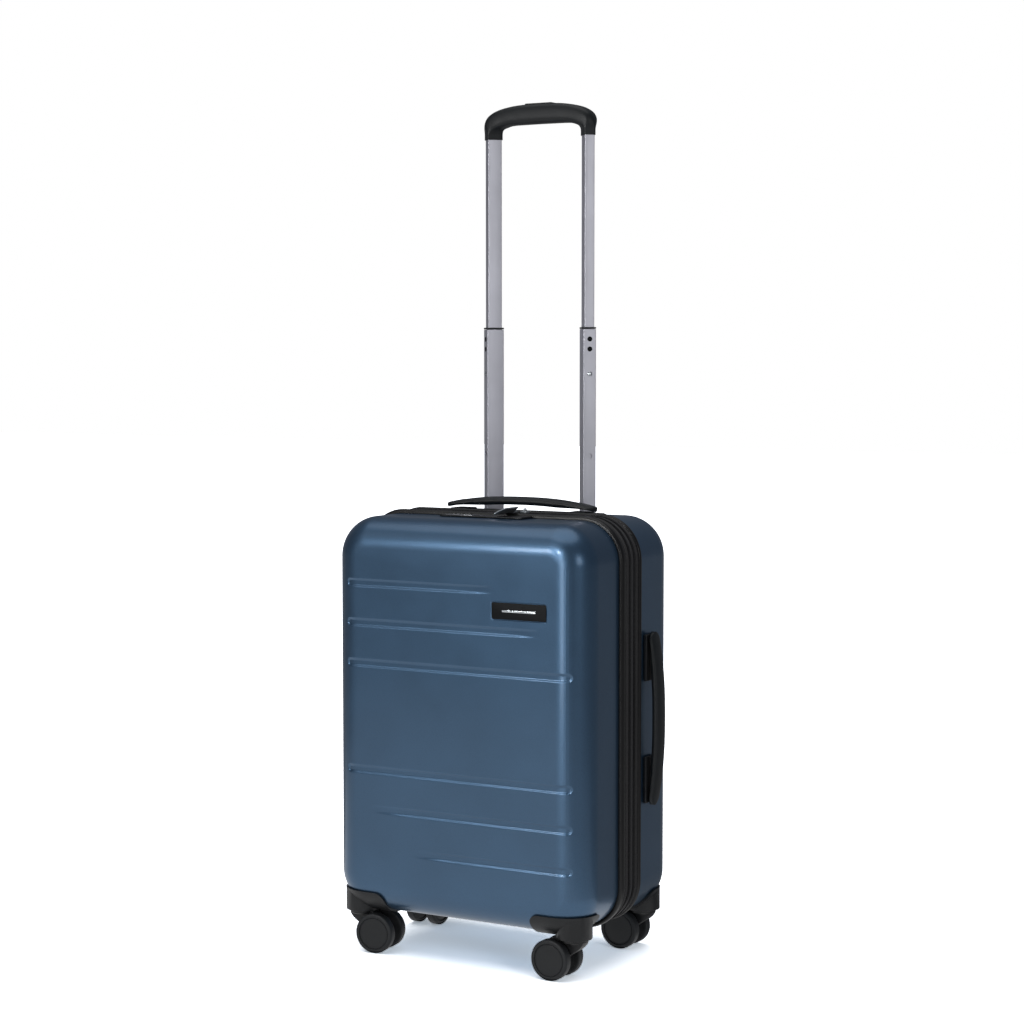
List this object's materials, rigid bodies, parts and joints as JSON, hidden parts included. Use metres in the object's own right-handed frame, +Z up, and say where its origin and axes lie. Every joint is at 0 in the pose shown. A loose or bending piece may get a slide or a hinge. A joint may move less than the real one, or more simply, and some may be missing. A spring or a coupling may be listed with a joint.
{
  "type": "expandable hard shell suitcase with four twin casters",
  "caption": "Upright hard shell cabin suitcase with a side-hinged lid, expansion zip, top lock, carry handles, two-stage trolley handle and twin swivel casters.",
  "frame": {"origin": "on the floor, below the middle of the bounding box", "axes": "+Z up, front face of the case towards -Y, side carry handle towards +X"},
  "size_m": [0.385, 0.2378, 1.0613],
  "materials": {
    "shell": "satin metallic blue polycarbonate with a fine pearl",
    "trim": "fine-textured black",
    "tape": "woven black zip tape",
    "lining": "woven lining cloth",
    "tube": "grey anodised, brushed along its length",
    "steel": "plated metal",
    "grip": "soft-touch dark grey",
    "tyre": "dark grey moulded wheel"
  },
  "bodies": {
    "case": {"rear_shell": "shell", "rear_lining": "lining", "tube_cover_panel": "lining", "rear_rim": "trim", "rear_zip_tape": "tape", "trolley_bezel": "trim", "outer_tube_left": "tube", "outer_tube_right": "tube", "trolley_base": "trim", "top_handle_foot_a": "grip", "top_handle_foot_b": "grip", "side_handle_foot_a": "grip", "side_handle_foot_b": "grip", "caster_housing_rear_left": "trim", "caster_housing_rear_right": "trim"},
    "expander": {"middle_band": "tape", "expansion_gusset": "lining", "hinge_strip": "tape"},
    "lid": {"front_shell": "shell", "front_lining": "lining", "front_rim": "trim", "front_zip_tape": "tape", "badge_plate": "trim", "lock_body": "trim", "caster_housing_front_left": "trim", "caster_housing_front_right": "trim"},
    "zip_sliders": {"zip_slider_left": "steel", "zip_slider_right": "steel"},
    "pull_tab": {"pull_tab": "steel"},
    "top_handle": {"top_handle": "grip"},
    "side_handle": {"side_handle": "grip"},
    "trolley_middle": {"middle_tube_left": "tube", "middle_tube_right": "tube", "middle_collar_left": "trim", "middle_collar_right": "trim"},
    "trolley_upper": {"upper_tube_left": "tube", "upper_tube_right": "tube", "trolley_grip": "grip"},
    "grip_button": {"grip_button": "trim"},
    "lock_pin_left": {"lock_pin_left": "steel"},
    "lock_pin_right": {"lock_pin_right": "steel"},
    "lock_dial_1": {"lock_dial_1": "steel"},
    "lock_dial_2": {"lock_dial_2": "steel"},
    "lock_dial_3": {"lock_dial_3": "steel"},
    "fork_front_left": {"caster_fork_front_left": "trim", "axle_front_left": "steel"},
    "wheel_front_left_a": {"wheel_front_left_a": "tyre"},
    "wheel_front_left_b": {"wheel_front_left_b": "tyre"},
    "fork_front_right": {"caster_fork_front_right": "trim", "axle_front_right": "steel"},
    "wheel_front_right_a": {"wheel_front_right_a": "tyre"},
    "wheel_front_right_b": {"wheel_front_right_b": "tyre"},
    "fork_rear_left": {"caster_fork_rear_left": "trim", "axle_rear_left": "steel"},
    "wheel_rear_left_a": {"wheel_rear_left_a": "tyre"},
    "wheel_rear_left_b": {"wheel_rear_left_b": "tyre"},
    "fork_rear_right": {"caster_fork_rear_right": "trim", "axle_rear_right": "steel"},
    "wheel_rear_right_a": {"wheel_rear_right_a": "tyre"},
    "wheel_rear_right_b": {"wheel_rear_right_b": "tyre"}
  },
  "joints": [
    {"name": "expansion", "type": "slide", "parent": "case", "child": "expander", "axis": [0, -1, 0], "range_m": [0, 0.03]},
    {"name": "lid_hinge", "type": "hinge", "parent": "expander", "child": "lid", "pos_m": [-0.193, -0.0084, 0.3], "axis": [0, 0, -1], "range_deg": [0, 150]},
    {"name": "zip_run", "type": "slide", "parent": "expander", "child": "zip_sliders", "axis": [1, 0, 0], "range_m": [-0.09, 0.085]},
    {"name": "pull_tab_swing", "type": "hinge", "parent": "zip_sliders", "child": "pull_tab", "pos_m": [0.02, -0.0125, 0.558], "axis": [-1, 0, 0], "range_deg": [0, 110]},
    {"name": "top_handle_lift", "type": "slide", "parent": "case", "child": "top_handle", "axis": [0, 0, 1], "range_m": [0, 0.01], "stiffness_N_per_m": 300},
    {"name": "side_handle_lift", "type": "slide", "parent": "case", "child": "side_handle", "axis": [1, 0, 0], "range_m": [0, 0.01], "stiffness_N_per_m": 300},
    {"name": "trolley_lower_stage", "type": "slide", "parent": "case", "child": "trolley_middle", "axis": [0, 0, 1], "range_m": [-0.231, 0]},
    {"name": "trolley_upper_stage", "type": "slide", "parent": "trolley_middle", "child": "trolley_upper", "axis": [0, 0, 1], "range_m": [-0.238, 0]},
    {"name": "grip_button_press", "type": "slide", "parent": "trolley_upper", "child": "grip_button", "axis": [0, 0, -1], "range_m": [0, 0.003], "stiffness_N_per_m": 400},
    {"name": "lock_pin_left_draw", "type": "slide", "parent": "trolley_upper", "child": "lock_pin_left", "axis": [0.6691, 0.7431, 0], "range_m": [0, 0.003]},
    {"name": "lock_pin_right_draw", "type": "slide", "parent": "trolley_upper", "child": "lock_pin_right", "axis": [-0.6691, 0.7431, 0], "range_m": [0, 0.003]},
    {"name": "lock_dial_1_turn", "type": "hinge", "parent": "lid", "child": "lock_dial_1", "pos_m": [-0.052, -0.043, 0.5432], "axis": [1, 0, 0], "continuous": true},
    {"name": "lock_dial_2_turn", "type": "hinge", "parent": "lid", "child": "lock_dial_2", "pos_m": [-0.041, -0.043, 0.5432], "axis": [1, 0, 0], "continuous": true},
    {"name": "lock_dial_3_turn", "type": "hinge", "parent": "lid", "child": "lock_dial_3", "pos_m": [-0.03, -0.043, 0.5432], "axis": [1, 0, 0], "continuous": true},
    {"name": "swivel_front_left", "type": "hinge", "parent": "lid", "child": "fork_front_left", "pos_m": [-0.1592, -0.0885, 0.0506], "axis": [0, 0, 1], "continuous": true},
    {"name": "spin_front_left_a", "type": "hinge", "parent": "fork_front_left", "child": "wheel_front_left_a", "pos_m": [-0.13538, -0.08557, 0.025], "axis": [-0.1219, 0.9925, 0], "continuous": true},
    {"name": "spin_front_left_b", "type": "hinge", "parent": "fork_front_left", "child": "wheel_front_left_b", "pos_m": [-0.13538, -0.08557, 0.025], "axis": [-0.1219, 0.9925, 0], "continuous": true},
    {"name": "swivel_front_right", "type": "hinge", "parent": "lid", "child": "fork_front_right", "pos_m": [0.1432, -0.0885, 0.0506], "axis": [0, 0, 1], "continuous": true},
    {"name": "spin_front_right_a", "type": "hinge", "parent": "fork_front_right", "child": "wheel_front_right_a", "pos_m": [0.1192, -0.08808, 0.025], "axis": [-0.0175, -0.9998, 0], "continuous": true},
    {"name": "spin_front_right_b", "type": "hinge", "parent": "fork_front_right", "child": "wheel_front_right_b", "pos_m": [0.1192, -0.08808, 0.025], "axis": [-0.0175, -0.9998, 0], "continuous": true},
    {"name": "swivel_rear_left", "type": "hinge", "parent": "case", "child": "fork_rear_left", "pos_m": [-0.1592, 0.0885, 0.0506], "axis": [0, 0, 1], "continuous": true},
    {"name": "spin_rear_left_a", "type": "hinge", "parent": "fork_rear_left", "child": "wheel_rear_left_a", "pos_m": [-0.1592, 0.0645, 0.025], "axis": [1, 0, 0], "continuous": true},
    {"name": "spin_rear_left_b", "type": "hinge", "parent": "fork_rear_left", "child": "wheel_rear_left_b", "pos_m": [-0.1592, 0.0645, 0.025], "axis": [1, 0, 0], "continuous": true},
    {"name": "swivel_rear_right", "type": "hinge", "parent": "case", "child": "fork_rear_right", "pos_m": [0.1432, 0.0885, 0.0506], "axis": [0, 0, 1], "continuous": true},
    {"name": "spin_rear_right_a", "type": "hinge", "parent": "fork_rear_right", "child": "wheel_rear_right_a", "pos_m": [0.1192, 0.0885, 0.025], "axis": [0, -1, 0], "continuous": true},
    {"name": "spin_rear_right_b", "type": "hinge", "parent": "fork_rear_right", "child": "wheel_rear_right_b", "pos_m": [0.1192, 0.0885, 0.025], "axis": [0, -1, 0], "continuous": true}
  ],
  "couplings": [
    {"joint": "lock_pin_left_draw", "follows": "grip_button_press", "ratio": 1},
    {"joint": "lock_pin_right_draw", "follows": "grip_button_press", "ratio": 1}
  ]
}
